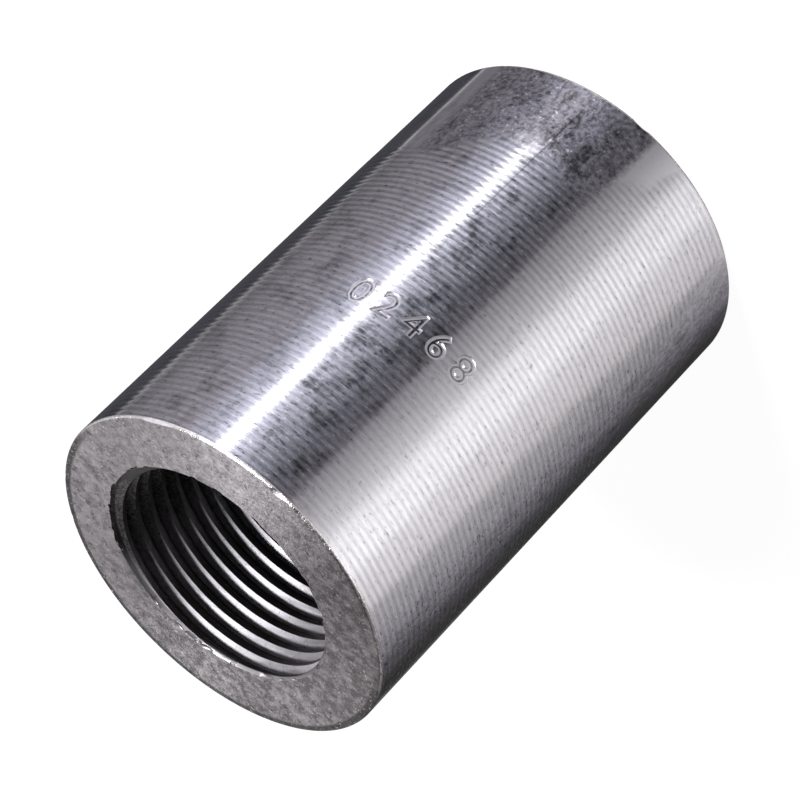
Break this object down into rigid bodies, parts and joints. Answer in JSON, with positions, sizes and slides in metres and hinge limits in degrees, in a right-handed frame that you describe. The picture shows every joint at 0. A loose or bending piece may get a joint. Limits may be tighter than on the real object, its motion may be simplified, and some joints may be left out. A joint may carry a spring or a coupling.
{
  "type": "rebar coupler",
  "caption": "Round steel sleeve with a straight internal thread right through, for joining the threaded ends of two reinforcing bars end to end.",
  "frame": {"origin": "middle of the lower end face, on the axis of the bore", "axes": "+Z along the axis of the bore, from the lower face to the upper one; +X and +Y across it, with the thread's groove leaving the upper face near +X"},
  "size_m": [0.0584, 0.0584, 0.091],
  "materials": {
    "turned_steel": "bright turned steel with fine feed marks round it, dull end faces and a clean cut thread"
  },
  "bodies": {
    "root": {"sleeve": "turned_steel"}
  },
  "joints": []
}
